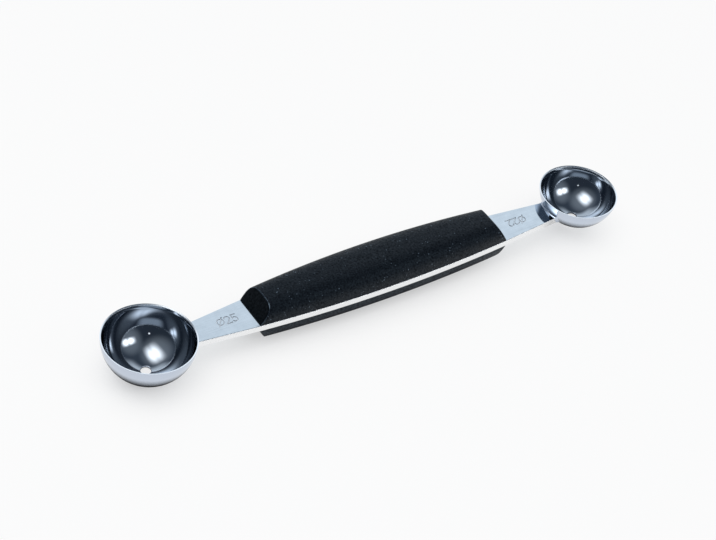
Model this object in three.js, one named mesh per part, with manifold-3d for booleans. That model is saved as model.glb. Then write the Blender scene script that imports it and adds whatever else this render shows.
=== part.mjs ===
// Double-ended melon baller: two deep-drawn steel cups, welded to the ends of one flat steel tang, with a
// moulded black scale pinned to each face of the tang as the handle.
// Millimetres, +Z up, +X from the large cup to the small one, origin at the bottom centre of the tool.

import * as THREE from "three";
import { mergeVertices } from "three/addons/utils/BufferGeometryUtils.js";
import Module from "manifold-3d";

const wasm = await Module();
wasm.setup();

// Cups: each wall is part of a sphere with a vent hole at its lowest point, and the rim is bevelled outside.
const LARGE_BALL_DIAMETER = 25;
const LARGE_CUP_DEPTH = 12.2;
const SMALL_BALL_DIAMETER = 22;
const SMALL_CUP_DEPTH = 9.7;
const CUP_WALL = 0.6;
const RIM_LAND = 0.4;
const RIM_BEVEL_HEIGHT = 1.2;
const VENT_DIAMETER = 3;

// Tang: one flat bar from cup to cup, as wide as the handle inside it and tapering along each bare neck.
const TANG_THICKNESS = 2;
const TANG_DROP = 3.7; // rim plane down to the tang's upper face
const NECK_LENGTH = 19.3; // handle end to the cup's wall
const NECK_WIDTH = 7.2; // at the cup's wall

// Welds: a narrow hollow fillet all round the tang's end, from its faces and edges to the cup's wall.
const WELD_LEG = 0.6; // along the tang and up the wall
const WELD_EDGE_LEG = 0.6; // out from the tang's edges
const WELD_GAP = 0.3; // between the weld, the cup and the tang

// Handle scales: crowned bars, widest and highest in the middle, with an end facet that leans inwards.
const HANDLE_LENGTH = 83;
const HANDLE_END_WIDTH = 11.2;
const HANDLE_MIDDLE_WIDTH = 14.9;
const UPPER_MIDDLE_HEIGHT = 6.7;
const UPPER_END_HEIGHT = 5.3;
const UPPER_CROWN_POWER = 3.6; // superellipse section: the higher, the flatter the crown
const LOWER_MIDDLE_HEIGHT = 5.7;
const LOWER_END_HEIGHT = 5;
const LOWER_CROWN_POWER = 2.6;
const SIDE_POWER = 3; // superellipse section: the higher, the straighter the sides
const END_LEAN = THREE.MathUtils.degToRad(32); // end facet from the vertical

// Pins: blind steel pins through the tang, each pressed into both scales.
const PIN_COUNT = 3;
const PIN_SPACING = 26;
const PIN_DIAMETER = 3;
const PIN_REACH = 3.4; // into each scale
const PIN_SIDE_GAP = 0.1;
const PIN_END_GAP = 0.3;

// Fineness of the faceted shapes.
const CUP_SEGMENTS = 48;
const ARC_DIVISIONS = 5;
const SCALE_STATIONS = 16;
const SECTION_STEPS = 16;
const WELD_CORNER_STEPS = 4;
const WELD_ARC_STEPS = 4;
const WELD_FACE_STEPS = 8;
const PIN_SEGMENTS = 20;

const MIRROR_STEEL = { color: 0xd2d6da, roughness: 0.08, metalness: 1 };
const SATIN_STEEL = { color: 0xc3c8cd, roughness: 0.32, metalness: 1 };
const BLACK_PLASTIC = { color: 0x15171b, roughness: 0.55, metalness: 0 };

// A closed three.js geometry as a manifold solid, for cutting.
function toSolid(geometry) {
  const bare = geometry.clone();
  bare.deleteAttribute("normal");
  bare.deleteAttribute("uv");
  const merged = mergeVertices(bare);
  return new wasm.Manifold(
    new wasm.Mesh({
      numProp: 3,
      vertProperties: merged.attributes.position.array,
      triVerts: new Uint32Array(merged.index.array),
    }),
  );
}

// A manifold solid back as a three.js geometry.
function toGeometry(solid) {
  const mesh = solid.getMesh();
  const geometry = new THREE.BufferGeometry();
  geometry.setAttribute("position", new THREE.BufferAttribute(mesh.vertProperties, mesh.numProp));
  geometry.setIndex(new THREE.BufferAttribute(mesh.triVerts, 1));
  geometry.computeVertexNormals();
  return geometry;
}

// A skin over rings of equally many points. Its ends are capped, or joined to each other if it is a hoop.
function loft(rings, isHoop = false) {
  const around = rings[0].length;
  const index = [];
  const bandCount = isHoop ? rings.length : rings.length - 1;
  for (let i = 0; i < bandCount; i++) {
    const here = i * around;
    const next = ((i + 1) % rings.length) * around;
    for (let j = 0; j < around; j++) {
      const k = (j + 1) % around;
      index.push(here + j, next + j, here + k, here + k, next + j, next + k);
    }
  }
  if (!isHoop) {
    const last = bandCount * around;
    for (let j = 1; j < around - 1; j++) {
      index.push(0, j, j + 1, last, last + j + 1, last + j);
    }
  }
  return new THREE.BufferGeometry().setFromPoints(rings.flat()).setIndex(index);
}

function named(name, geometry, finish) {
  const mesh = new THREE.Mesh(geometry, new THREE.MeshStandardMaterial(finish));
  mesh.name = name;
  return mesh;
}

// Half widths and heights along the handle follow a parabola from its middle to its ends.
function alongHandle(middle, end, x) {
  return middle - (middle - end) * (x / (HANDLE_LENGTH / 2)) ** 2;
}

function neckHalfWidth(fromHandle) {
  return THREE.MathUtils.lerp(HANDLE_END_WIDTH / 2, NECK_WIDTH / 2, fromHandle / NECK_LENGTH);
}

// The spheres of one cup, in its own frame with the rim at height 0.
function cupShape(ballDiameter, depth) {
  const rim = ballDiameter / 2;
  const inner = (rim ** 2 + depth ** 2) / (2 * depth);
  const centre = inner - depth;
  const outer = inner + CUP_WALL;
  const tangLevel = -TANG_DROP - TANG_THICKNESS / 2;
  const reach = Math.sqrt(outer ** 2 - (tangLevel - centre) ** 2); // cup axis to its wall at the tang
  const axis = HANDLE_LENGTH / 2 + NECK_LENGTH + reach; // handle middle to cup axis
  const footLevel = WELD_GAP - TANG_DROP;
  const footReach = Math.sqrt((outer + WELD_GAP + WELD_LEG) ** 2 - (footLevel - centre) ** 2);
  const neckEnd = axis - footReach - WELD_GAP; // handle middle to the end of the neck's clear flat
  return { rim, inner, centre, outer, axis, neckEnd };
}

function cupGeometry({ rim, inner, centre, outer }) {
  const rimAngle = Math.asin(-centre / inner);
  const bevelAngle = Math.asin((-RIM_BEVEL_HEIGHT - centre) / outer);
  const ventAngle = (radius) => -Math.acos(VENT_DIAMETER / 2 / radius);
  const profile = new THREE.Path();
  profile.absarc(0, centre, outer, ventAngle(outer), bevelAngle, false);
  profile.lineTo(rim + RIM_LAND, 0);
  profile.absarc(0, centre, inner, rimAngle, ventAngle(inner), true);
  profile.closePath();
  return new THREE.LatheGeometry(profile.getPoints(ARC_DIVISIONS), CUP_SEGMENTS).rotateX(Math.PI / 2);
}

// The outline of the tang's section, moved out from its edges and its faces, with round corners.
function tangOutline(halfWidth, offEdges, offFaces) {
  const halfThickness = TANG_THICKNESS / 2;
  const points = [];
  for (let corner = 0; corner < 4; corner++) {
    const ySide = corner === 0 || corner === 3 ? 1 : -1;
    const zSide = corner < 2 ? 1 : -1;
    for (let step = 0; step <= WELD_CORNER_STEPS; step++) {
      const turn = ((corner + step / WELD_CORNER_STEPS) * Math.PI) / 2;
      const y = ySide * halfWidth + offEdges * Math.cos(turn);
      const z = zSide * halfThickness + offFaces * Math.sin(turn);
      points.push(new THREE.Vector2(y, z));
    }
    const stepsAcross = corner % 2 === 0 ? WELD_FACE_STEPS : 1;
    for (let step = 1; step < stepsAcross; step++) {
      const y = ySide * halfWidth * (1 - (2 * step) / stepsAcross);
      points.push(new THREE.Vector2(y, zSide * (halfThickness + offFaces)));
    }
  }
  return points;
}

// One turn round the tang's end. Rise is how far the fillet has left the tang, and run how far it is from the
// wall, each as a share of its leg.
function weldRing({ centre, outer }, rise, run) {
  const offWall = WELD_GAP + run * WELD_LEG;
  const halfWidth = neckHalfWidth(NECK_LENGTH - offWall);
  const outline = tangOutline(halfWidth, WELD_GAP + rise * WELD_EDGE_LEG, WELD_GAP + rise * WELD_LEG);
  return outline.map((point) => {
    const y = point.x;
    const z = point.y - TANG_DROP - TANG_THICKNESS / 2;
    const x = Math.sqrt((outer + offWall) ** 2 - y ** 2 - (z - centre) ** 2);
    return new THREE.Vector3(x, y, z);
  });
}

function weldGeometry(shape) {
  const hollow = Array.from({ length: WELD_ARC_STEPS + 1 }, (_, i) => {
    const angle = ((i / WELD_ARC_STEPS) * Math.PI) / 2;
    return weldRing(shape, 1 - Math.cos(angle), 1 - Math.sin(angle));
  });
  return loft([weldRing(shape, 0, 0), ...hollow], true);
}

// One cup with its weld, rim centre at the origin and the tang leaving along +X.
function makeEnd(name, shape) {
  const end = new THREE.Group();
  end.add(named(`${name}_cup`, cupGeometry(shape), MIRROR_STEEL));
  end.add(named(`${name}_cup_weld`, weldGeometry(shape), SATIN_STEEL));
  return end;
}

function pinPlaces() {
  return Array.from({ length: PIN_COUNT }, (_, i) => (i - (PIN_COUNT - 1) / 2) * PIN_SPACING);
}

function pinHoles(bottom, top) {
  const height = top - bottom;
  const radius = PIN_DIAMETER / 2 + PIN_SIDE_GAP;
  return pinPlaces().map((x) =>
    toSolid(
      new THREE.CylinderGeometry(radius, radius, height, PIN_SEGMENTS)
        .rotateX(Math.PI / 2)
        .translate(x, 0, (bottom + top) / 2),
    ),
  );
}

// The ball that a cup fills, with the weld gap around it, in the tang's frame.
function cupClearance({ outer, centre, axis }, side) {
  return toSolid(
    new THREE.SphereGeometry(outer + WELD_GAP, CUP_SEGMENTS, CUP_SEGMENTS / 2)
      .rotateX(Math.PI / 2)
      .translate(side * axis, 0, centre + TANG_DROP + TANG_THICKNESS / 2),
  );
}

// The tang, its middle at the origin: handle outline, necks, an end hollowed to each cup, and pin holes.
function makeTang(largeCup, smallCup) {
  const section = (x, halfWidth) => [
    new THREE.Vector3(x, -halfWidth, -TANG_THICKNESS / 2),
    new THREE.Vector3(x, -halfWidth, TANG_THICKNESS / 2),
    new THREE.Vector3(x, halfWidth, TANG_THICKNESS / 2),
    new THREE.Vector3(x, halfWidth, -TANG_THICKNESS / 2),
  ];
  const neckSections = (side, cup) =>
    [cup.axis, cup.neckEnd].map((x) => section(side * x, neckHalfWidth(x - HANDLE_LENGTH / 2)));
  const handleSections = Array.from({ length: SCALE_STATIONS + 1 }, (_, i) => {
    const x = (i / SCALE_STATIONS - 0.5) * HANDLE_LENGTH;
    return section(x, alongHandle(HANDLE_MIDDLE_WIDTH / 2, HANDLE_END_WIDTH / 2, x));
  });
  const largeNeck = neckSections(-1, largeCup);
  const smallNeck = neckSections(1, smallCup).reverse();
  const bar = loft([...largeNeck, ...handleSections, ...smallNeck]);
  const cuts = [
    cupClearance(largeCup, -1),
    cupClearance(smallCup, 1),
    ...pinHoles(-TANG_THICKNESS, TANG_THICKNESS),
  ];
  const solid = cuts.reduce((left, cut) => left.subtract(cut), toSolid(bar));
  return named("tang", toGeometry(solid), SATIN_STEEL);
}

// The block beyond one end facet of a scale.
function endCut(side) {
  const size = HANDLE_LENGTH;
  return toSolid(
    new THREE.BoxGeometry(size, size, size)
      .translate((side * size) / 2, 0, 0)
      .rotateY(-side * END_LEAN)
      .translate((side * HANDLE_LENGTH) / 2, 0, 0),
  );
}

// One scale, its flat seat on the plane z = 0 and its crown up.
function makeScale(name, middleHeight, endHeight, crownPower) {
  const overrun = 1 + 2 / SCALE_STATIONS; // past the handle's ends, for the end cuts to trim
  const stations = Array.from({ length: SCALE_STATIONS + 1 }, (_, i) => {
    const x = (i / SCALE_STATIONS - 0.5) * HANDLE_LENGTH * overrun;
    const halfWidth = alongHandle(HANDLE_MIDDLE_WIDTH / 2, HANDLE_END_WIDTH / 2, x);
    const height = alongHandle(middleHeight, endHeight, x);
    return Array.from({ length: SECTION_STEPS + 1 }, (_, j) => {
      const angle = Math.PI * (1 - j / SECTION_STEPS);
      const across = Math.sign(Math.cos(angle)) * Math.abs(Math.cos(angle)) ** (2 / SIDE_POWER);
      const up = j % SECTION_STEPS === 0 ? 0 : Math.sin(angle) ** (2 / crownPower);
      return new THREE.Vector3(x, halfWidth * across, height * up);
    });
  });
  const sockets = pinHoles(-PIN_REACH - PIN_END_GAP, PIN_REACH + PIN_END_GAP);
  const solid = [endCut(-1), endCut(1), ...sockets].reduce(
    (left, cut) => left.subtract(cut),
    toSolid(loft(stations)),
  );
  return named(name, toGeometry(solid), BLACK_PLASTIC);
}

function makePins() {
  const length = TANG_THICKNESS + 2 * PIN_REACH;
  const radius = PIN_DIAMETER / 2;
  return pinPlaces().map((x, i) => {
    const shape = new THREE.CylinderGeometry(radius, radius, length, PIN_SEGMENTS).rotateX(Math.PI / 2);
    const pin = named(`scale_pin_${i + 1}`, shape, SATIN_STEEL);
    pin.position.x = x;
    return pin;
  });
}

// The tool about the middle of its tang.
function makeTool() {
  const largeCup = cupShape(LARGE_BALL_DIAMETER, LARGE_CUP_DEPTH);
  const smallCup = cupShape(SMALL_BALL_DIAMETER, SMALL_CUP_DEPTH);
  const rimHeight = TANG_DROP + TANG_THICKNESS / 2;

  const largeEnd = makeEnd("large", largeCup);
  largeEnd.position.set(-largeCup.axis, 0, rimHeight);
  const smallEnd = makeEnd("small", smallCup);
  smallEnd.position.set(smallCup.axis, 0, rimHeight);
  smallEnd.rotation.z = Math.PI;

  const upperScale = makeScale("upper_scale", UPPER_MIDDLE_HEIGHT, UPPER_END_HEIGHT, UPPER_CROWN_POWER);
  upperScale.position.z = TANG_THICKNESS / 2;
  const lowerScale = makeScale("lower_scale", LOWER_MIDDLE_HEIGHT, LOWER_END_HEIGHT, LOWER_CROWN_POWER);
  lowerScale.position.z = -TANG_THICKNESS / 2;
  lowerScale.rotation.x = Math.PI;

  const tool = new THREE.Group();
  tool.add(makeTang(largeCup, smallCup), largeEnd, smallEnd, upperScale, lowerScale, ...makePins());
  return tool;
}

// The tool stands with its lowest point on z = 0 and the middle of its length at x = 0.
const tool = makeTool();
const box = new THREE.Box3().setFromObject(tool);
tool.position.set(-(box.min.x + box.max.x) / 2, 0, -box.min.z);
const melonBaller = new THREE.Group();
melonBaller.add(tool);

export default melonBaller;
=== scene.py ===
"""Visual model of a double-ended melon baller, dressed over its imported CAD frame."""

import math

import bmesh
import bpy
from mathutils import Matrix, Vector


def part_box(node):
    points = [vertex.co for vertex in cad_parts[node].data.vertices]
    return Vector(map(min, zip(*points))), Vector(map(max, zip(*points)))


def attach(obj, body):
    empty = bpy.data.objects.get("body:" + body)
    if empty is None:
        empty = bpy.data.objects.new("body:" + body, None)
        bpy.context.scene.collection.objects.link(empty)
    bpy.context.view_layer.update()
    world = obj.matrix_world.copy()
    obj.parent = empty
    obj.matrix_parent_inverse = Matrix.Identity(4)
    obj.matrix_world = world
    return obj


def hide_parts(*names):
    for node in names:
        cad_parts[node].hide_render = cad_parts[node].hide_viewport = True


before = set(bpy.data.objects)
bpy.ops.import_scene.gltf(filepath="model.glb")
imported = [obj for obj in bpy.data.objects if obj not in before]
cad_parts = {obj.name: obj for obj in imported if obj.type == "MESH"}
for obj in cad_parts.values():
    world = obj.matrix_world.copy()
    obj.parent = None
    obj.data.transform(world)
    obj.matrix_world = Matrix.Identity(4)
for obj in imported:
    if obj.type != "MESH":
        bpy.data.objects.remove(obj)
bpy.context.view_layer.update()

MM = 0.001

# Shapes shared with the CAD source, in millimetres.
RIM_RADIUS = {"large": 12.5, "small": 11.0}
CUP_DEPTH = {"large": 12.2, "small": 9.7}
CUP_SIDE = {"large": -1, "small": 1}  # which end of the tool
CUP_WALL = 0.6
RIM_BEVEL = 1.2  # height of the rim's straight outside
VENT_RADIUS = 1.5
HANDLE_LENGTH = 83.0
HANDLE_END_WIDTH = 11.2
HANDLE_MIDDLE_WIDTH = 14.9
NECK_LENGTH = 19.3
NECK_WIDTH = 7.2
SIDE_POWER = 3.0
END_LEAN = math.radians(32.0)
SCALES = {
    "upper": {"middle": 6.7, "end": 5.3, "power": 3.6, "up": 1},
    "lower": {"middle": 5.7, "end": 5.0, "power": 2.6, "up": -1},
}

# Rims, welds, softened edges and fineness, for the visual model alone.
RIM_LAND = 0.6  # rim's outer edge beyond the bowl's mouth
RIM_TOP, RIM_TOP_FALL = 0.36, 0.11  # outer part of the land, nearly level
RIM_FALL = 0.95  # the inner bevel's foot below the rim
RIM_EDGE_SOFTENING = 0.045
RIM_ROUNDING = 0.3  # at the inner bevel's foot
OUTSIDE_SOFTENING = 0.3  # where the outside turns straight
VENT_SOFTENING = 0.12
CORNER_STEPS = 10
CUP_STEPS = [48, 4, 1, 2, 56, 2]  # along each part of a cup's section
TANG_EDGE_RADIUS = 0.16
TANG_EDGE_STEPS = 5
TANG_FACE_STEPS = 14
TANG_STATIONS = 110
TANG_END_LENGTH = 0.9  # from the tang's curved end to its first straight section
TANG_EMBED = 0.3  # tang's end into the cup's wall
WELD_LEG = 0.75
WELD_STEPS = 18
WELD_CORNER_STEPS = 8
WELD_FACE_STEPS, WELD_EDGE_STEPS = 28, 6
WELD_EMBED = 0.04  # fillet's feet into the wall and the tang
FACET_SOFTENING = 0.32
FACET_STEPS = 6
FACET_CENTRE = 0.45  # height of a facet's hub, as a share
SEAT_SOFTENING = 0.14
CUP_SEGMENTS = 192
SCALE_STATIONS = 150
CROWN_STEPS = 76
CROWN_SAMPLES = 4000  # for spacing the crown's points
SEAT_STEPS = 12

# Size marks engraved in the necks.
MARK_HALF_WIDTH = 0.2
MARK_DEPTH = 0.16
MARK_OVERSHOOT = 0.25  # cutter above the surface
MARK_DEPTH_STEP = 0.004  # floors of crossing strokes stay apart
MARK_HEIGHT = 3.0
MARK_PITCH = 0.25

# How far a face has to turn towards a direction to take a material.
BOWL_FACING = 0.96
RIM_FACING = -0.5
LAND_FACING = 0.85
EDGE_FACING = 0.6
FACET_FACING, FACET_SIDEWAYS = 0.985, 0.2
FACET_EDGE_FACING, FACET_EDGE_LEAN = 0.3, 0.45


# ---------------------------------------------------------------- places taken from the frame


def box_mm(node):
    low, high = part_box(node)
    return low / MM, high / MM


TANG_LOW, TANG_HIGH = box_mm("tang")
TANG_MIDDLE = (TANG_LOW.z + TANG_HIGH.z) / 2
TANG_HALF = (TANG_HIGH.z - TANG_LOW.z) / 2
SCALE_LOW, SCALE_HIGH = box_mm("upper_scale")
HANDLE_MIDDLE = (SCALE_LOW.x + SCALE_HIGH.x) / 2
RIM_LEVEL = box_mm("large_cup")[1].z


def cup_shape(which):
    low, high = box_mm(which + "_cup")
    rim, depth = RIM_RADIUS[which], CUP_DEPTH[which]
    inner = (rim**2 + depth**2) / (2 * depth)
    return {
        "side": CUP_SIDE[which],
        "axis": (low.x + high.x) / 2,
        "rim": rim,
        "inner": inner,
        "outer": inner + CUP_WALL,
        "centre": RIM_LEVEL + inner - depth,
    }


# ---------------------------------------------------------------- mesh helpers


def lerp(a, b, t):
    return a + (b - a) * t


def bezier(a, corner, b, t):
    return tuple((1 - t) ** 2 * p + 2 * t * (1 - t) * q + t * t * r for p, q, r in zip(a, corner, b))


def arc(centre, radius, start, stop):
    def at(t):
        angle = lerp(start, stop, t)
        return (radius * math.cos(angle), centre + radius * math.sin(angle))

    return at, radius * abs(stop - start)


def straight(a, b):
    return (lambda t: (lerp(a[0], b[0], t), lerp(a[1], b[1], t))), math.dist(a, b)


def softened_loop(segments, cuts, steps):
    """Points round a closed path of segments, with a curve in place of each corner."""
    points = []
    count = len(segments)
    for i, (at, length) in enumerate(segments):
        before, after = cuts[i - 1] / length, cuts[i] / length
        first, last = before, 1 - after
        places = [lerp(first + before * 0.5, last - after * 0.5, k / steps[i]) for k in range(steps[i] + 1)]
        points += [at(t) for t in [first, *places, last]]
        following, following_length = segments[(i + 1) % count]
        resume = following(cuts[i] / following_length)
        points += [bezier(at(last), at(1), resume, k / CORNER_STEPS) for k in range(1, CORNER_STEPS)]
    return points


def skin(rings, hoop=False):
    """Quads over closed rings of equally many points. A hoop's last ring joins its first."""
    around = len(rings[0])
    bands = len(rings) if hoop else len(rings) - 1
    faces = []
    for i in range(bands):
        here, there = i * around, (i + 1) % len(rings) * around
        for j in range(around):
            k = (j + 1) % around
            faces.append((here + j, here + k, there + k, there + j))
    return [p for ring in rings for p in ring], faces


def add_mesh(name, points, faces):
    """A smooth mesh from points in millimetres, with its normals outwards."""
    mesh = bpy.data.meshes.new(name)
    mesh.from_pydata([tuple(c * MM for c in p) for p in points], [], faces)
    cleaned = bmesh.new()
    cleaned.from_mesh(mesh)
    bmesh.ops.recalc_face_normals(cleaned, faces=cleaned.faces)
    if cleaned.calc_volume(signed=True) < 0:
        bmesh.ops.reverse_faces(cleaned, faces=cleaned.faces)
    cleaned.to_mesh(mesh)
    cleaned.free()
    mesh.shade_smooth()
    piece = bpy.data.objects.new(name, mesh)
    bpy.context.scene.collection.objects.link(piece)
    return piece


def dress(piece, node, slot, *materials):
    for material in materials:
        piece.data.materials.append(material)
    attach(piece, "root")
    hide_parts(node)


# ---------------------------------------------------------------- material helpers


def add_node(tree, kind, inputs=None, **settings):
    node = tree.nodes.new(kind)
    for key, value in settings.items():
        setattr(node, key, value)
    for key, value in (inputs or {}).items():
        if isinstance(value, bpy.types.NodeSocket):
            tree.links.new(value, node.inputs[key])
        else:
            node.inputs[key].default_value = value
    return node


def math_node(tree, operation, *values):
    return add_node(tree, "ShaderNodeMath", dict(enumerate(values)), operation=operation).outputs[0]


def mapped(tree, value, low, high, to_low, to_high, smooth=False):
    inputs = {"Value": value, "From Min": low, "From Max": high, "To Min": to_low, "To Max": to_high}
    kind = "SMOOTHSTEP" if smooth else "LINEAR"
    return add_node(tree, "ShaderNodeMapRange", inputs, interpolation_type=kind).outputs["Result"]


def ramp_colour(tree, value, dark, light):
    node = add_node(tree, "ShaderNodeMix", {"Factor": value}, data_type="RGBA")
    node.inputs["A"].default_value = (*dark, 1)
    node.inputs["B"].default_value = (*light, 1)
    return node.outputs["Result"]


def new_material(name):
    material = bpy.data.materials.new(name)
    material.use_nodes = True
    tree = material.node_tree
    tree.nodes.clear()
    output = add_node(tree, "ShaderNodeOutputMaterial")
    shader = add_node(tree, "ShaderNodeBsdfPrincipled")
    tree.links.new(shader.outputs[0], output.inputs["Surface"])
    return material, tree, shader


def object_point(tree):
    return add_node(tree, "ShaderNodeTexCoord").outputs["Object"]


def noise(tree, vector, scale, detail=2.0, roughness=0.5):
    inputs = {"Vector": vector, "Scale": scale, "Detail": detail, "Roughness": roughness}
    return add_node(tree, "ShaderNodeTexNoise", inputs).outputs["Fac"]


def set_bump(tree, shader, height, strength, distance):
    bump = add_node(tree, "ShaderNodeBump", {"Height": height, "Strength": strength, "Distance": distance})
    tree.links.new(bump.outputs[0], shader.inputs["Normal"])


# ---------------------------------------------------------------- materials


def polished_steel(name, axis_mm, dark, light, rough_low, rough_high):
    """Mirror-polished steel with faint polishing rings about a cup's axis and a soft unevenness."""
    material, tree, shader = new_material(name)
    point = object_point(tree)
    away = add_node(tree, "ShaderNodeVectorMath", {0: point, 1: (axis_mm * MM, 0, 0)}, operation="SUBTRACT")
    parts = add_node(tree, "ShaderNodeSeparateXYZ", {0: away.outputs[0]})
    flat = add_node(tree, "ShaderNodeCombineXYZ", {0: parts.outputs[0], 1: parts.outputs[1]})
    radius = add_node(tree, "ShaderNodeVectorMath", {0: flat.outputs[0]}, operation="LENGTH").outputs["Value"]
    ring_point = add_node(tree, "ShaderNodeCombineXYZ", {0: radius, 1: parts.outputs[2]})
    rings = noise(tree, ring_point.outputs[0], 4200, 3, 0.6)
    cloud = noise(tree, point, 260, 3, 0.5)
    mixed = math_node(tree, "MULTIPLY_ADD", cloud, 0.6, math_node(tree, "MULTIPLY", rings, 0.4))
    tree.links.new(ramp_colour(tree, mixed, dark, light), shader.inputs["Base Color"])
    tree.links.new(mapped(tree, mixed, 0.3, 0.7, rough_low, rough_high), shader.inputs["Roughness"])
    shader.inputs["Metallic"].default_value = 1
    set_bump(tree, shader, rings, 0.012, 0.00002)
    return material


def satin_steel(name, dark, light, rough_low, rough_high):
    """Ground steel with fine scratches along the tool and a faint cloudiness."""
    material, tree, shader = new_material(name)
    point = object_point(tree)
    stretch = add_node(tree, "ShaderNodeMapping", {"Vector": point, "Scale": (90, 5200, 5200)}).outputs[0]
    scratches = noise(tree, stretch, 1, 4, 0.65)
    cloud = noise(tree, point, 420, 3, 0.55)
    mixed = math_node(tree, "MULTIPLY_ADD", scratches, 0.55, math_node(tree, "MULTIPLY", cloud, 0.45))
    tree.links.new(ramp_colour(tree, mixed, dark, light), shader.inputs["Base Color"])
    tree.links.new(mapped(tree, mixed, 0.3, 0.7, rough_low, rough_high), shader.inputs["Roughness"])
    shader.inputs["Metallic"].default_value = 1
    set_bump(tree, shader, scratches, 0.06, 0.00002)
    return material


def black_plastic(name, dark, light, gloss, grain, rough_low, rough_high, specks=0.0):
    """Moulded black plastic with a fine spark-eroded grain and a few glossy specks."""
    material, tree, shader = new_material(name)
    point = object_point(tree)
    fine = noise(tree, point, 2600, 3, 0.6)
    cells = add_node(tree, "ShaderNodeTexVoronoi", {"Vector": point, "Scale": 2300}, feature="SMOOTH_F1")
    pits = mapped(tree, cells.outputs["Distance"], 0.05, 0.6, 0, 1)
    height = math_node(tree, "MULTIPLY_ADD", fine, 0.6, math_node(tree, "MULTIPLY", pits, 0.4))
    cloud = noise(tree, point, 160, 3, 0.5)
    shade = math_node(tree, "MULTIPLY_ADD", cloud, 0.5, math_node(tree, "MULTIPLY", height, 0.5))
    tree.links.new(ramp_colour(tree, shade, dark, light), shader.inputs["Base Color"])
    tree.links.new(mapped(tree, shade, 0.3, 0.7, rough_low, rough_high), shader.inputs["Roughness"])
    sparkle = mapped(tree, noise(tree, point, 2000, 2, 0.6), 0.3, 0.7, 0.2 * gloss, 2.2 * gloss)
    dots = add_node(tree, "ShaderNodeTexVoronoi", {"Vector": point, "Scale": 1050}, feature="F1")
    few = mapped(tree, noise(tree, point, 330, 2, 0.5), 0.52, 0.62, 0, 1)
    dot = mapped(tree, dots.outputs["Distance"], 0.22, 0.12, 0, specks)
    gleam = math_node(tree, "ADD", sparkle, math_node(tree, "MULTIPLY", dot, few))
    tree.links.new(gleam, shader.inputs["Specular IOR Level"])
    shader.inputs["Specular Tint"].default_value = (0.6, 0.8, 1, 1)
    set_bump(tree, shader, height, grain, 0.00009)
    return material


CUP_DARK, CUP_LIGHT = (0.57, 0.635, 0.745), (0.63, 0.695, 0.795)
# Painted shade: the bowl's inside takes a darker copy of the cup's polished steel.
SHADED_BOWL_DARK, SHADED_BOWL_LIGHT = (0.36, 0.4, 0.45), (0.415, 0.455, 0.505)
# Painted highlight: the rim's land and inner bevel take a lighter copy of the cup's steel.
LIT_RIM_DARK, LIT_RIM_LIGHT = (0.84, 0.88, 0.93), (0.92, 0.95, 0.98)
TANG_DARK, TANG_LIGHT = (0.4, 0.45, 0.495), (0.76, 0.835, 0.9)

large_shape, small_shape = cup_shape("large"), cup_shape("small")
cup_steel = {}
for cup_name, cup in (("large", large_shape), ("small", small_shape)):
    cup_steel[cup_name] = (
        polished_steel(cup_name + "_cup_polish", cup["axis"], CUP_DARK, CUP_LIGHT, 0.04, 0.08),
        polished_steel(cup_name + "_bowl_painted_shade", cup["axis"], SHADED_BOWL_DARK, SHADED_BOWL_LIGHT, 0.04, 0.09),
        polished_steel(cup_name + "_rim_painted_highlight", cup["axis"], LIT_RIM_DARK, LIT_RIM_LIGHT, 0.06, 0.12),
        polished_steel(cup_name + "_bevel_satin_painted_highlight", cup["axis"], LIT_RIM_DARK, LIT_RIM_LIGHT, 0.22, 0.28),
    )
weld_steel = satin_steel("weld_polish", CUP_DARK, CUP_LIGHT, 0.1, 0.18)
tang_steel = satin_steel("tang_satin", TANG_DARK, TANG_LIGHT, 0.04, 0.09)
# Painted highlight: the tang's side faces take a near-white, rougher copy of the tang's steel.
edge_highlight_steel = satin_steel("tang_edge_painted_highlight", (0.92, 0.94, 0.96), (1.0, 1.0, 1.0), 0.22, 0.32)
groove_steel = satin_steel("mark_groove", (0.56, 0.6, 0.64), (0.9, 0.93, 0.96), 0.3, 0.45)
pin_steel = satin_steel("pin_satin", TANG_DARK, TANG_LIGHT, 0.35, 0.5)
GRIP_DARK, GRIP_LIGHT = (0.002, 0.003, 0.0046), (0.006, 0.0085, 0.0125)
GRIP_LOOK = {"grain": 0.9, "rough_low": 0.38, "rough_high": 0.56}
grip_black = {
    "upper": black_plastic("upper_scale_grain", GRIP_DARK, GRIP_LIGHT, gloss=0.17, specks=2.4, **GRIP_LOOK),
    "lower": black_plastic("lower_scale_grain", GRIP_DARK, GRIP_LIGHT, gloss=0.36, **GRIP_LOOK),
}
# Painted shade: the leaning end facets take a darker copy of the grip's plastic; their finer grain and smoother
# finish are the cut end's own.
shaded_facet_black = black_plastic(
    "scale_facet",
    (0.0012, 0.002, 0.0028),
    (0.0026, 0.004, 0.0054),
    gloss=0.08,
    grain=0.1,
    rough_low=0.3,
    rough_high=0.42,
)
# Painted highlight: the facets' rounded edges take a lighter, glossier copy of the grip's plastic.
facet_edge_highlight_black = black_plastic(
    "scale_facet_edge_painted_highlight",
    (0.004, 0.0055, 0.008),
    (0.008, 0.011, 0.015),
    gloss=0.8,
    grain=0.5,
    rough_low=0.2,
    rough_high=0.34,
)


# ---------------------------------------------------------------- cups


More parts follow.
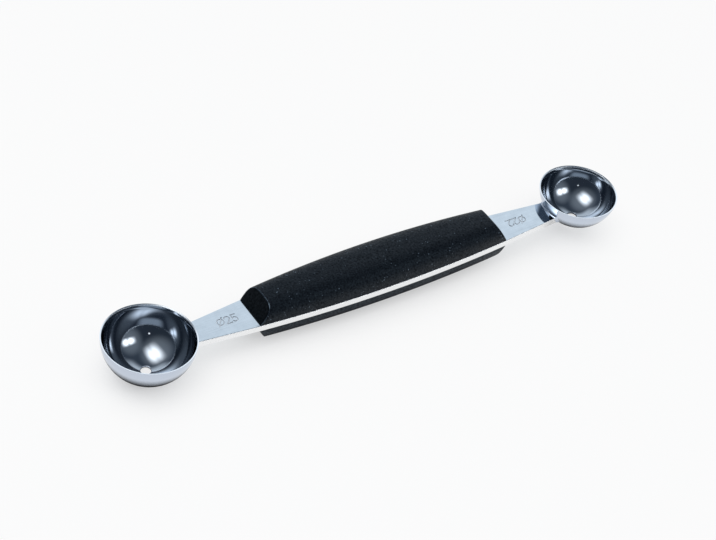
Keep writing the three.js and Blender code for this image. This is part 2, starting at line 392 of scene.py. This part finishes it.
def make_cup(which, shape):
    """A bowl turned from its section: outside, rim, land, inner bevel, inside and vent wall."""
    rim, inner, outer = shape["rim"], shape["inner"], shape["outer"]
    centre = shape["centre"] - RIM_LEVEL
    rim_angle = math.asin((-RIM_FALL - centre) / inner)
    bevel_angle = math.asin((-RIM_BEVEL - centre) / outer)
    inner_vent = -math.acos(VENT_RADIUS / inner)
    outer_vent = -math.acos(VENT_RADIUS / outer)
    outside = arc(centre, outer, outer_vent, bevel_angle)
    land_edge, land_break = (rim + RIM_LAND, 0), (rim + RIM_LAND - RIM_TOP, -RIM_TOP_FALL)
    inside = arc(centre, inner, rim_angle, inner_vent)
    segments = [
        outside,
        straight(outside[0](1), land_edge),
        straight(land_edge, land_break),
        straight(land_break, inside[0](0)),
        inside,
        straight(inside[0](1), outside[0](0)),
    ]
    cuts = [
        OUTSIDE_SOFTENING,
        RIM_EDGE_SOFTENING,
        RIM_EDGE_SOFTENING,
        RIM_ROUNDING,
        VENT_SOFTENING,
        VENT_SOFTENING,
    ]
    profile = softened_loop(segments, cuts, CUP_STEPS)
    rings = []
    for k in range(CUP_SEGMENTS):
        turn = 2 * math.pi * k / CUP_SEGMENTS
        x, y = math.cos(turn), math.sin(turn)
        rings.append([(shape["axis"] + r * x, r * y, RIM_LEVEL + z) for r, z in profile])
    cup = add_mesh(which + "_cup_bowl", *skin(rings, hoop=True))
    dress(cup, which + "_cup", "cup_steel", *cup_steel[which])
    middle = Vector((shape["axis"], 0, shape["centre"])) * MM
    rim_foot = (RIM_LEVEL - RIM_FALL - RIM_ROUNDING) * MM
    for face in cup.data.polygons:
        inward = (middle - face.center).normalized()
        turned = face.normal.dot(inward)
        # Faces turned to the bowl's middle take the darker steel, painted shade.
        if turned > BOWL_FACING:
            face.material_index = 1
        # The rim's land and inner bevel take the lighter steel, painted highlight.
        elif face.center.z > rim_foot and turned > RIM_FACING:
            face.material_index = 2 if face.normal.z > LAND_FACING else 3


make_cup("large", large_shape)
make_cup("small", small_shape)


# ---------------------------------------------------------------- tang


def along_handle(middle, end, x):
    return middle - (middle - end) * ((x - HANDLE_MIDDLE) / (HANDLE_LENGTH / 2)) ** 2


def tang_half_width(x):
    past_handle = abs(x - HANDLE_MIDDLE) - HANDLE_LENGTH / 2
    if past_handle <= 0:
        return along_handle(HANDLE_MIDDLE_WIDTH / 2, HANDLE_END_WIDTH / 2, x)
    return lerp(HANDLE_END_WIDTH, NECK_WIDTH, past_handle / NECK_LENGTH) / 2


def tang_section(half_width):
    """Half of the tang's outline, across its upper face from edge to edge, as (y, height over the middle)."""
    radius = TANG_EDGE_RADIUS
    flat, level = half_width - radius, TANG_HALF - radius
    turns = [math.pi / 2 * k / TANG_EDGE_STEPS for k in range(TANG_EDGE_STEPS + 1)]
    near = [(flat + radius * math.cos(a), level + radius * math.sin(a)) for a in turns]
    across = [(flat * (1 - 2 * k / TANG_FACE_STEPS), TANG_HALF) for k in range(1, TANG_FACE_STEPS)]
    far = [(-y, z) for y, z in reversed(near)]
    return near + across + far


def wall_x(shape, y, z, off):
    """Where a cup's outer wall, moved out by off, is crossed on its handle side."""
    reach = math.sqrt((shape["outer"] + off) ** 2 - y**2 - (z - shape["centre"]) ** 2)
    return shape["axis"] - shape["side"] * reach


def tang_ring(x_of):
    upper = tang_section(tang_half_width(x_of(0, TANG_MIDDLE)))
    outline = upper + [(y, -z) for y, z in reversed(upper)]
    return [(x_of(y, TANG_MIDDLE + z), y, TANG_MIDDLE + z) for y, z in outline]


def make_tang():
    end_of = [
        lambda y, z, s=shape: wall_x(s, y, z, -TANG_EMBED) for shape in (large_shape, small_shape)
    ]
    start = end_of[0](0, TANG_MIDDLE) + TANG_END_LENGTH
    stop = end_of[1](0, TANG_MIDDLE) - TANG_END_LENGTH
    handle_ends = [HANDLE_MIDDLE - HANDLE_LENGTH / 2, HANDLE_MIDDLE + HANDLE_LENGTH / 2]
    spread = [lerp(start, stop, k / TANG_STATIONS) for k in range(TANG_STATIONS + 1)]
    places = sorted(spread + handle_ends)
    rings = [tang_ring(end_of[0])]
    rings += [tang_ring(lambda y, z, x=x: x) for x in places]
    rings.append(tang_ring(end_of[1]))
    points, faces = skin(rings)
    around = len(rings[0])
    for first in (0, (len(rings) - 1) * around):
        for j in range(around // 2 - 1):
            opposite = around - 1 - j
            faces.append(tuple(first + k for k in (j, j + 1, opposite - 1, opposite)))
    return add_mesh("tang_bar", points, faces)


# Glyph strokes in a box one unit high, as (points, is closed).


def ellipse(centre, half_x, half_y, start, stop, count):
    angles = [math.radians(lerp(start, stop, k / count)) for k in range(count + 1)]
    return [(centre[0] + half_x * math.cos(a), centre[1] + half_y * math.sin(a)) for a in angles]


GLYPHS = {
    "diameter": (
        0.72,
        [
            (ellipse((0.36, 0.5), 0.33, 0.37, 0, 360 - 360 / 36, 35), True),
            ([(0.02, 0.02), (0.7, 0.98)], False),
        ],
    ),
    "2": (
        0.6,
        [
            (
                ellipse((0.3, 0.68), 0.25, 0.24, 165, -35, 16) + [(0.28, 0.28), (0.06, 0.07)],
                False,
            ),
            ([(0.06, 0.07), (0.58, 0.07)], False),
        ],
    ),
    "5": (
        0.6,
        [
            ([(0.54, 0.93), (0.14, 0.93), (0.1, 0.5)], False),
            (ellipse((0.29, 0.34), 0.26, 0.27, 128, -145, 18), False),
        ],
    ),
}


def stroke_cutter(points, closed, depth):
    """A prism with slanting sides along a stroke, for cutting a groove into the tang's upper face."""
    slope = 0.5 * MARK_HALF_WIDTH / depth
    top = MARK_HALF_WIDTH + slope * MARK_OVERSHOOT
    section = [
        (-top, MARK_OVERSHOOT),
        (top, MARK_OVERSHOOT),
        (0.5 * MARK_HALF_WIDTH, -depth),
        (-0.5 * MARK_HALF_WIDTH, -depth),
    ]
    count = len(points)
    rings = []
    for i, here in enumerate(points):
        before = points[i - 1] if closed or i > 0 else None
        after = points[(i + 1) % count] if closed or i < count - 1 else None
        into = (here - before).normalized() if before else (after - here).normalized()
        out = (after - here).normalized() if after else into
        along = (into + out).normalized()
        across = Vector((-along.y, along.x)) / max(0.5, along.dot(into))
        shift = Vector((0, 0))
        if before is None or after is None:
            shift = along * MARK_HALF_WIDTH * (-1 if before is None else 1)
        ring = []
        for offset, height in section:
            place = here + shift + across * offset
            ring.append((place.x, place.y, TANG_HIGH.z + height))
        rings.append(ring)
    mesh_points, faces = skin(rings, hoop=closed)
    if not closed:
        last = len(mesh_points) - 4
        faces += [(0, 1, 2, 3), (last, last + 1, last + 2, last + 3)]
    return add_mesh("cutter", mesh_points, faces)


def engrave(tang, glyphs, corner, direction):
    """Cuts a row of glyphs, from a corner of the first one, reading along direction (+1 or -1 on X)."""
    start = Vector(corner)
    depth = MARK_DEPTH
    for name in glyphs:
        width, strokes = GLYPHS[name]
        for stroke, closed in strokes:
            points = [start + Vector((u, v)) * MARK_HEIGHT * direction for u, v in stroke]
            cutter = stroke_cutter(points, closed, depth)
            depth += MARK_DEPTH_STEP
            for material in (tang_steel, groove_steel):
                cutter.data.materials.append(material)
            cutter.data.polygons.foreach_set("material_index", [1] * len(cutter.data.polygons))
            cut = tang.modifiers.new("cut", "BOOLEAN")
            cut.operation, cut.solver, cut.object = "DIFFERENCE", "EXACT", cutter
            graph = bpy.context.evaluated_depsgraph_get()
            carved = bpy.data.meshes.new_from_object(tang.evaluated_get(graph))
            tang.modifiers.clear()
            tang.data = carved
            bpy.data.objects.remove(cutter)
        start.x += (width * MARK_HEIGHT + MARK_PITCH) * direction


tang = make_tang()
dress(tang, "tang", "tang_steel", tang_steel, groove_steel, edge_highlight_steel)
engrave(tang, ("diameter", "2", "5"), (-49.8, -1.2), 1)
engrave(tang, ("diameter", "2", "2"), (53.9, 1.6), -1)
# The side faces take the near-white steel, painted highlight.
for side_face in tang.data.polygons:
    if side_face.material_index == 0 and abs(side_face.normal.y) > EDGE_FACING:
        side_face.material_index = 2
tang.data.shade_smooth()
tang.data.set_sharp_from_angle(angle=math.radians(40))
tang.modifiers.new("even_normals", "WEIGHTED_NORMAL").keep_sharp = True


# ---------------------------------------------------------------- welds


def weld_outline(half_width, off):
    """The tang's section moved out by off, with round corners, as (y, z)."""
    corners = [(1, 1), (-1, 1), (-1, -1), (1, -1)]
    points = []
    for corner, (y_side, z_side) in enumerate(corners):
        for step in range(WELD_CORNER_STEPS + 1):
            turn = (corner + step / WELD_CORNER_STEPS) * math.pi / 2
            y = y_side * half_width + off * math.cos(turn)
            z = z_side * TANG_HALF + off * math.sin(turn)
            points.append((y, TANG_MIDDLE + z))
        on_face = corner % 2 == 0
        steps = WELD_FACE_STEPS if on_face else WELD_EDGE_STEPS
        off_y, off_z = (0, off) if on_face else (off, 0)
        next_y, next_z = corners[(corner + 1) % 4]
        a = points[-1]
        b = (next_y * (half_width + off_y), TANG_MIDDLE + next_z * (TANG_HALF + off_z))
        points += [(lerp(a[0], b[0], k / steps), lerp(a[1], b[1], k / steps)) for k in range(1, steps)]
    return points


def make_weld(which, shape):
    """A hollow fillet round the tang's end; its foot is sunk into the wall and the tang."""
    rings = []
    places = [(0, 0)]
    for k in range(WELD_STEPS + 1):
        angle = math.pi / 2 * k / WELD_STEPS
        places.append((1 - math.cos(angle), 1 - math.sin(angle)))
    for rise, run in places:
        off_wall = run * (WELD_LEG + WELD_EMBED) - WELD_EMBED
        off_tang = rise * (WELD_LEG + WELD_EMBED) - WELD_EMBED
        neck_x = wall_x(shape, 0, TANG_MIDDLE, off_wall)
        outline = weld_outline(tang_half_width(neck_x), off_tang)
        rings.append([(wall_x(shape, y, z, off_wall), y, z) for y, z in outline])
    weld = add_mesh(which + "_cup_fillet", *skin(rings, hoop=True))
    weld.data.set_sharp_from_angle(angle=math.radians(50))
    dress(weld, which + "_cup_weld", "weld_steel", weld_steel)


make_weld("large", large_shape)
make_weld("small", small_shape)


# ---------------------------------------------------------------- handle scales


def crown_angles(power):
    """Angles that space points evenly along a scale's crown, from its +Y edge to its -Y edge."""
    half_width, height = HANDLE_MIDDLE_WIDTH / 2, SCALES["upper"]["middle"]
    fine = [math.pi * k / CROWN_SAMPLES for k in range(CROWN_SAMPLES + 1)]
    travelled, last = [0.0], None
    for angle in fine:
        here = crown_point(half_width, height, power, angle)
        if last:
            travelled.append(travelled[-1] + math.dist(here, last))
        last = here
    low = next(i for i, s in enumerate(travelled) if s > SEAT_SOFTENING)
    start, stop = travelled[low], travelled[-1] - travelled[low]
    angles, i = [], 0
    for k in range(CROWN_STEPS + 1):
        want = lerp(start, stop, k / CROWN_STEPS)
        while i < CROWN_SAMPLES and travelled[i] < want:
            i += 1
        angles.append(fine[i])
    return angles


def crown_point(half_width, height, power, angle):
    cosine, sine = math.cos(angle), max(0.0, math.sin(angle))
    across = math.copysign(abs(cosine) ** (2 / SIDE_POWER), cosine)
    return (half_width * across, height * sine ** (2 / power))


def scale_point(spec, along, angle):
    """A point of the crown: along is -1 and +1 on the two leaning end facets."""
    x, y, z = HANDLE_MIDDLE, 0.0, 0.0
    for _ in range(12):
        half_width = along_handle(HANDLE_MIDDLE_WIDTH / 2, HANDLE_END_WIDTH / 2, x)
        y, z = crown_point(half_width, along_handle(spec["middle"], spec["end"], x), spec["power"], angle)
        x = HANDLE_MIDDLE + along * (HANDLE_LENGTH / 2 - z * math.tan(END_LEAN))
    return (x, y, z)


def scale_ring(spec, angles, along):
    """One closed turn: crown, softened seat edge, seat, softened seat edge."""
    crown = [scale_point(spec, along, a) for a in angles]
    x = HANDLE_MIDDLE + along * HANDLE_LENGTH / 2
    half_width = along_handle(HANDLE_MIDDLE_WIDTH / 2, HANDLE_END_WIDTH / 2, x)
    edges = []
    for side, end in ((-1, crown[-1]), (1, crown[0])):
        on_seat = (x, side * (half_width - SEAT_SOFTENING), 0)
        corner = (x, side * half_width, 0)
        edges.append([bezier(end, corner, on_seat, k / 4) for k in range(1, 5)])
    far, near = edges
    flat = half_width - SEAT_SOFTENING
    seat = [(x, lerp(-flat, flat, k / SEAT_STEPS), 0) for k in range(1, SEAT_STEPS)]
    return crown + far + seat + near[::-1]


def toward(ring, centre, share):
    return [tuple(lerp(c, p, share) for p, c in zip(point, centre)) for point in ring]


def scale_end(spec, angles, side):
    """Rings from the facet's inside out over its softened edge to the body."""
    reach = 2 * FACET_SOFTENING / HANDLE_LENGTH
    edge = scale_ring(spec, angles, side)
    body = scale_ring(spec, angles, side * (1 - reach))
    height = scale_point(spec, side, math.pi / 2)[2]
    hub = height * FACET_CENTRE
    centre = (HANDLE_MIDDLE + side * (HANDLE_LENGTH / 2 - hub * math.tan(END_LEAN)), 0.0, hub)
    facet = toward(edge, centre, 1 - FACET_SOFTENING / (height - hub))
    inner = [toward(facet, centre, share) for share in (0.12, 0.35, 0.6, 0.82, 0.95)]
    rounded = [
        [bezier(f, e, b, k / FACET_STEPS) for f, e, b in zip(facet, edge, body)] for k in range(FACET_STEPS + 1)
    ]
    return centre, inner + rounded


def make_scale(which, spec):
    angles = crown_angles(spec["power"])
    reach = 2 * FACET_SOFTENING / HANDLE_LENGTH
    left_centre, left = scale_end(spec, angles, -1)
    right_centre, right = scale_end(spec, angles, 1)
    support = reach * 1.4
    spread = [lerp(-1 + support, 1 - support, k / SCALE_STATIONS) for k in range(SCALE_STATIONS + 1)]
    body = [scale_ring(spec, angles, along) for along in spread]
    rings = left + body + right[::-1]
    points, faces = skin(rings)
    around = len(rings[0])
    for first, centre in ((0, left_centre), ((len(rings) - 1) * around, right_centre)):
        points.append(centre)
        hub = len(points) - 1
        faces += [(first + j, first + (j + 1) % around, hub) for j in range(around)]
    seat = TANG_MIDDLE + spec["up"] * TANG_HALF
    points = [(x, y, seat + spec["up"] * z) for x, y, z in points]
    scale = add_mesh(which + "_scale_grip", points, faces)
    dress(scale, which + "_scale", "scale_plastic", grip_black[which], shaded_facet_black, facet_edge_highlight_black)
    lean = Vector((math.cos(END_LEAN), 0, math.sin(END_LEAN) * spec["up"]))
    for face in scale.data.polygons:
        leaning = Vector((abs(face.normal.x), 0, face.normal.z)).dot(lean)
        # Leaning end facets take the darker plastic, painted shade.
        if leaning > FACET_FACING and abs(face.normal.y) < FACET_SIDEWAYS:
            face.material_index = 1
        # The facets' rounded edges take the lighter, glossier plastic, painted highlight.
        elif abs(face.normal.x) > FACET_EDGE_FACING and leaning > FACET_EDGE_LEAN:
            face.material_index = 2


for scale_name, scale_spec in SCALES.items():
    make_scale(scale_name, scale_spec)

for number in (1, 2, 3):
    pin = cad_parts[f"scale_pin_{number}"]
    pin.data.materials.clear()
    pin.data.materials.append(pin_steel)


# ---------------------------------------------------------------- camera

CAMERA_AZIMUTH = math.radians(-40.339)
CAMERA_ELEVATION = math.radians(42.698)
CAMERA_ROLL = math.radians(11.05)
CAMERA_DISTANCE = 0.62726
CAMERA_TARGET = Vector((-0.004035, 0, 0.012714))
FOCAL_PIXELS = 2260.75
IMAGE_WIDTH = 716
PRINCIPAL_RIGHT, PRINCIPAL_UP = 3.096, 4.093  # pixels from the image's middle


def make_camera():
    flat = math.cos(CAMERA_ELEVATION)
    back = Vector(
        (math.sin(CAMERA_AZIMUTH) * flat, -math.cos(CAMERA_AZIMUTH) * flat, math.sin(CAMERA_ELEVATION))
    )
    right = Vector((math.cos(CAMERA_AZIMUTH), math.sin(CAMERA_AZIMUTH), 0))
    up = back.cross(right)
    rolled_right = right * math.cos(CAMERA_ROLL) + up * math.sin(CAMERA_ROLL)
    rolled_up = up * math.cos(CAMERA_ROLL) - right * math.sin(CAMERA_ROLL)
    data = bpy.data.cameras.new("camera")
    data.sensor_width = 36
    data.lens = data.sensor_width * FOCAL_PIXELS / IMAGE_WIDTH
    data.shift_x = -PRINCIPAL_RIGHT / IMAGE_WIDTH
    data.shift_y = -PRINCIPAL_UP / IMAGE_WIDTH
    data.clip_start, data.clip_end = 0.01, 50
    camera = bpy.data.objects.new("camera", data)
    bpy.context.scene.collection.objects.link(camera)
    turn = Matrix((rolled_right, rolled_up, back)).transposed().to_4x4()
    camera.matrix_world = Matrix.Translation(CAMERA_TARGET + back * CAMERA_DISTANCE) @ turn
    bpy.context.scene.camera = camera


make_camera()


# ---------------------------------------------------------------- studio


LAMP_BAR = 0.16  # half width of a lamp's dimmer bar, as a share


def make_softbox(name, place, across, size, radiance, soft, bar=0.0):
    """A lamp with soft edges and a dimmer bar in its middle; size is (along across, other way)."""
    data = bpy.data.lights.new(name, "AREA")
    data.shape = "RECTANGLE"
    data.size, data.size_y = size
    data.energy = radiance * math.pi * size[0] * size[1]
    data.use_nodes = True
    tree = data.node_tree
    tree.nodes.clear()
    place_on = add_node(tree, "ShaderNodeNewGeometry").outputs["Parametric"]
    parts = add_node(tree, "ShaderNodeSeparateXYZ", {0: place_on})
    fades = []
    for axis in (0, 1):
        off = math_node(tree, "ABSOLUTE", math_node(tree, "SUBTRACT", parts.outputs[axis], 0.5))
        fades.append(mapped(tree, off, 0.5, 0.5 - soft, 0, 1, smooth=True))
        if axis == 0:
            fades.append(mapped(tree, off, 0, LAMP_BAR, 1 - bar, 1, smooth=True))
    strength = math_node(tree, "MULTIPLY", math_node(tree, "MULTIPLY", *fades[:2]), fades[2])
    emission = add_node(tree, "ShaderNodeEmission", {"Strength": strength})
    output = add_node(tree, "ShaderNodeOutputLight")
    tree.links.new(emission.outputs[0], output.inputs[0])
    lamp = bpy.data.objects.new(name, data)
    bpy.context.scene.collection.objects.link(lamp)
    back = (Vector(place) - Vector(OBJECT_MIDDLE)).normalized()
    side = (Vector(across) - back * back.dot(Vector(across))).normalized()
    turn = Matrix((side, back.cross(side), back)).transposed().to_4x4()
    lamp.matrix_world = Matrix.Translation(Vector(place)) @ turn
    lamp.visible_camera = False


OBJECT_MIDDLE = (0, 0, 0.008)
KEY_PLACE = (-0.172, 0.04, 0.42)
SIDE_PLACE = (0.335, -0.479, 0.463)
FRONT_PLACE = (-0.47, -0.66, 0.56)
make_softbox("key_light", KEY_PLACE, (1, 0, 0), size=(0.38, 0.54), radiance=3.7, soft=0.5, bar=0.3)
make_softbox("side_light", SIDE_PLACE, (1, 0, -0.06), size=(0.66, 0.29), radiance=6.5, soft=0.5, bar=0.62)
make_softbox("front_light", FRONT_PLACE, (1, -0.7, 0), size=(0.09, 0.09), radiance=2.6, soft=0.4)

FLOOR_HALF = 4.0
CONTACT_REACH = 0.03  # of the shadow under the tool
MIRRORED_REACH = 0.007  # of the shadow that the steel mirrors


def open_share(tree, reach):
    """How much of the sky is free within reach of a point."""
    return add_node(tree, "ShaderNodeAmbientOcclusion", {"Distance": reach}, samples=8).outputs["AO"]


def make_floor():
    """Pale paper that shows as white to the camera and to the steel, apart from its shadows."""
    mesh = bpy.data.meshes.new("floor")
    corners = [(x * FLOOR_HALF, y * FLOOR_HALF, 0) for x, y in ((-1, -1), (1, -1), (1, 1), (-1, 1))]
    mesh.from_pydata(corners, [], [(0, 1, 2, 3)])
    floor = bpy.data.objects.new("floor", mesh)
    bpy.context.scene.collection.objects.link(floor)
    material = bpy.data.materials.new("floor_paper")
    material.use_nodes = True
    tree = material.node_tree
    tree.nodes.clear()
    point = object_point(tree)
    tone = ramp_colour(tree, noise(tree, point, 900, 3), (0.9, 0.9, 0.9), (0.93, 0.93, 0.93))
    paper = add_node(tree, "ShaderNodeBsdfDiffuse", {"Color": tone})
    glow = add_node(tree, "ShaderNodeEmission", {"Color": (1, 1, 1, 1), "Strength": 1.0})
    path = add_node(tree, "ShaderNodeLightPath")
    open_sky = open_share(tree, CONTACT_REACH)
    white = mapped(tree, open_sky, 0.1, 0.8, 0.4, 0.92)
    seen = math_node(tree, "MULTIPLY", path.outputs["Is Camera Ray"], white)
    mirrored = math_node(tree, "MAXIMUM", path.outputs["Is Glossy Ray"], path.outputs["Is Transmission Ray"])
    share = math_node(tree, "MAXIMUM", seen, mirrored)
    near_sky = open_share(tree, MIRRORED_REACH)
    dimmed = math_node(tree, "MULTIPLY", mirrored, mapped(tree, near_sky, 0.95, 0.45, 0.13, 1))
    tree.links.new(math_node(tree, "SUBTRACT", 1.0, dimmed), glow.inputs["Strength"])
    lit = add_node(tree, "ShaderNodeMixShader", {0: share, 1: paper.outputs[0], 2: glow.outputs[0]})
    clear = add_node(tree, "ShaderNodeBsdfTransparent")
    under = add_node(tree, "ShaderNodeNewGeometry").outputs["Backfacing"]
    both = add_node(tree, "ShaderNodeMixShader", {0: under, 1: lit.outputs[0], 2: clear.outputs[0]})
    output = add_node(tree, "ShaderNodeOutputMaterial")
    tree.links.new(both.outputs[0], output.inputs["Surface"])
    mesh.materials.append(material)


make_floor()


def studio_card(tree, parts, azimuth, half_width, edge, top, fade):
    """How much of a pale card with soft edges lies in a direction: it stands on the horizon at an azimuth."""
    flat = add_node(tree, "ShaderNodeCombineXYZ", {0: parts.outputs[0], 1: parts.outputs[1]}).outputs[0]
    heading = add_node(tree, "ShaderNodeVectorMath", {0: flat}, operation="NORMALIZE").outputs[0]
    towards = (math.cos(math.radians(azimuth)), math.sin(math.radians(azimuth)), 0)
    facing = add_node(tree, "ShaderNodeVectorMath", {0: heading, 1: towards}, operation="DOT_PRODUCT")
    outer, inner = math.cos(math.radians(half_width + edge)), math.cos(math.radians(half_width - edge))
    across = mapped(tree, facing.outputs["Value"], outer, inner, 0, 1, smooth=True)
    high, low = math.sin(math.radians(top + fade)), math.sin(math.radians(top - fade))
    upright = mapped(tree, parts.outputs[2], high, low, 0, 1, smooth=True)
    return math_node(tree, "MULTIPLY", across, upright)


def lamp_halo(tree, sky, place, reach, level):
    """A faint glow of the room round a lamp, from nothing at a direction's cosine of reach."""
    towards = (Vector(place) - Vector(OBJECT_MIDDLE)).normalized()
    near = add_node(tree, "ShaderNodeVectorMath", {0: sky, 1: towards}, operation="DOT_PRODUCT")
    return mapped(tree, near.outputs["Value"], reach, 1, 0, level, smooth=True)


DARK_SIDE = Vector((-0.68, -0.62, 0.4)).normalized()


def make_world():
    """A dim studio with a pale wall, a pale belt along the horizon and a glow round the two big lamps."""
    world = bpy.data.worlds.new("studio")
    bpy.context.scene.world = world
    world.use_nodes = True
    tree = world.node_tree
    tree.nodes.clear()
    sky = add_node(tree, "ShaderNodeTexCoord").outputs["Generated"]
    parts = add_node(tree, "ShaderNodeSeparateXYZ", {0: sky})
    wall = studio_card(tree, parts, azimuth=60, half_width=45, edge=20, top=52, fade=9)
    belt = mapped(tree, parts.outputs[2], 0.12, 0.07, 0, 1, smooth=True)
    halos = math_node(
        tree,
        "ADD",
        lamp_halo(tree, sky, KEY_PLACE, reach=0.68, level=0.28),
        lamp_halo(tree, sky, SIDE_PLACE, reach=0.79, level=0.24),
    )
    pale = math_node(tree, "MAXIMUM", math_node(tree, "MAXIMUM", wall, belt), halos)
    depth = add_node(tree, "ShaderNodeVectorMath", {0: sky, 1: DARK_SIDE}, operation="DOT_PRODUCT")
    gloom = mapped(tree, depth.outputs["Value"], 0.95, 0.3, 0, 1, smooth=True)
    dark = ramp_colour(tree, gloom, (0.04, 0.053, 0.072), (0.07, 0.091, 0.122))
    colour = add_node(tree, "ShaderNodeMix", {"Factor": pale, "A": dark}, data_type="RGBA")
    colour.inputs["B"].default_value = (0.92, 1.0, 1.08, 1)
    colour = colour.outputs["Result"]
    background = add_node(tree, "ShaderNodeBackground", {"Color": colour, "Strength": 1.0})
    output = add_node(tree, "ShaderNodeOutputWorld")
    tree.links.new(background.outputs[0], output.inputs["Surface"])


make_world()
bpy.context.scene.view_settings.view_transform = "Standard"
